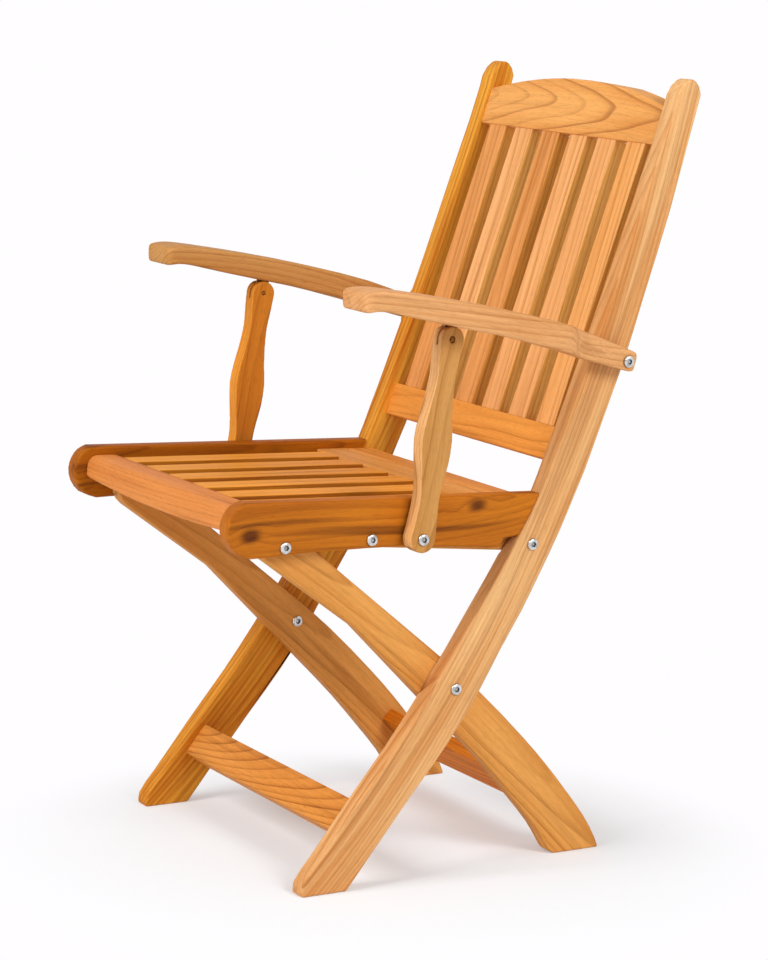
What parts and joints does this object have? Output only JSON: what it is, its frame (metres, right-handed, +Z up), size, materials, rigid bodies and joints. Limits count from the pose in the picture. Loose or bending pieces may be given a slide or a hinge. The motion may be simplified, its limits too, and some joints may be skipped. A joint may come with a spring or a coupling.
{
  "type": "folding teak armchair",
  "caption": "Slatted folding armchair with raked back, flat arm rests on turned-profile supports and crossed legs that fold about bolts.",
  "frame": {"origin": "on the floor under the middle of the open chair's box", "axes": "+X to the sitter's left, -Y to the front, +Z up"},
  "size_m": [0.563, 0.596, 0.898],
  "materials": {
    "honey_teak": "satin oiled",
    "dark_teak": "satin oiled",
    "amber_teak": "satin oiled",
    "pale_teak": "satin oiled",
    "zinc_steel": "bright zinc"
  },
  "bodies": {
    "back_frame": {"post_left": "honey_teak", "post_right": "honey_teak", "crest_rail": "honey_teak", "lower_back_rail": "amber_teak", "back_slat_1": "honey_teak", "back_slat_2": "honey_teak", "back_slat_3": "honey_teak", "back_slat_4": "honey_teak", "back_slat_5": "honey_teak", "back_slat_6": "honey_teak", "front_leg_stretcher": "amber_teak", "link_pivot_bolt_left": "zinc_steel", "leg_pivot_bolt_left": "zinc_steel", "arm_pivot_nut_left": "zinc_steel", "link_pivot_bolt_right": "zinc_steel", "leg_pivot_bolt_right": "zinc_steel", "arm_pivot_nut_right": "zinc_steel"},
    "seat": {"seat_front_rail": "amber_teak", "seat_rear_board": "amber_teak", "seat_cross_rail": "amber_teak", "seat_slat_1": "amber_teak", "seat_slat_2": "amber_teak", "seat_slat_3": "amber_teak", "seat_slat_4": "amber_teak", "seat_slat_5": "amber_teak", "seat_slat_6": "amber_teak", "seat_rail_left": "dark_teak", "seat_leg_bolt_left": "zinc_steel", "seat_link_bolt_left": "zinc_steel", "support_barrel_nut_left": "zinc_steel", "seat_rail_right": "dark_teak", "seat_leg_bolt_right": "zinc_steel", "seat_link_bolt_right": "zinc_steel", "support_barrel_nut_right": "zinc_steel"},
    "rear_legs": {"rear_leg_stretcher": "amber_teak", "rear_leg_left": "amber_teak", "leg_pivot_nut_left": "zinc_steel", "seat_leg_nut_left": "zinc_steel", "rear_leg_right": "amber_teak", "leg_pivot_nut_right": "zinc_steel", "seat_leg_nut_right": "zinc_steel"},
    "link_left": {"link_left": "amber_teak", "link_post_nut_left": "zinc_steel", "link_seat_nut_left": "zinc_steel"},
    "link_right": {"link_right": "amber_teak", "link_post_nut_right": "zinc_steel", "link_seat_nut_right": "zinc_steel"},
    "arm_left": {"arm_left": "pale_teak", "arm_bracket_left": "zinc_steel", "arm_pivot_bolt_left": "zinc_steel"},
    "arm_right": {"arm_right": "pale_teak", "arm_bracket_right": "zinc_steel", "arm_pivot_bolt_right": "zinc_steel"},
    "support_left": {"arm_support_left": "pale_teak", "support_pin_left": "zinc_steel", "support_bolt_left": "zinc_steel"},
    "support_right": {"arm_support_right": "pale_teak", "support_pin_right": "zinc_steel", "support_bolt_right": "zinc_steel"}
  },
  "joints": [
    {"name": "rear_legs_fold", "type": "hinge", "parent": "back_frame", "child": "rear_legs", "pos_m": [0, -0.01198, 0.21848], "axis": [-1, 0, 0], "range_deg": [0, 54.36]},
    {"name": "link_left_fold", "type": "hinge", "parent": "back_frame", "child": "link_left", "pos_m": [0.1831, 0.08499, 0.37698], "axis": [-1, 0, 0], "range_deg": [0, 81]},
    {"name": "link_right_fold", "type": "hinge", "parent": "back_frame", "child": "link_right", "pos_m": [-0.1831, 0.08499, 0.37698], "axis": [-1, 0, 0], "range_deg": [0, 81]},
    {"name": "seat_fold", "type": "hinge", "parent": "link_left", "child": "seat", "pos_m": [0.1831, -0.12051, 0.39817], "axis": [1, 0, 0], "range_deg": [0, 133.4]},
    {"name": "arm_left_fold", "type": "hinge", "parent": "back_frame", "child": "arm_left", "pos_m": [0.2328, 0.19197, 0.58298], "axis": [-1, 0, 0], "range_deg": [0, 90]},
    {"name": "arm_right_fold", "type": "hinge", "parent": "back_frame", "child": "arm_right", "pos_m": [-0.2328, 0.19197, 0.58298], "axis": [-1, 0, 0], "range_deg": [0, 90]},
    {"name": "support_left_fold", "type": "hinge", "parent": "arm_left", "child": "support_left", "pos_m": [0.2313, -0.03552, 0.61953], "axis": [1, 0, 0], "range_deg": [0, 65.2]},
    {"name": "support_right_fold", "type": "hinge", "parent": "arm_right", "child": "support_right", "pos_m": [-0.2313, -0.03552, 0.61953], "axis": [1, 0, 0], "range_deg": [0, 65.2]}
  ],
  "couplings": [
    {"joint": "link_left_fold", "follows": "rear_legs_fold", "ratio": 1.49},
    {"joint": "link_right_fold", "follows": "rear_legs_fold", "ratio": 1.49},
    {"joint": "seat_fold", "follows": "rear_legs_fold", "ratio": 2.452},
    {"joint": "arm_left_fold", "follows": "rear_legs_fold", "ratio": 1.6542},
    {"joint": "arm_right_fold", "follows": "rear_legs_fold", "ratio": 1.6542},
    {"joint": "support_left_fold", "follows": "rear_legs_fold", "ratio": 1.1975},
    {"joint": "support_right_fold", "follows": "rear_legs_fold", "ratio": 1.1975}
  ]
}
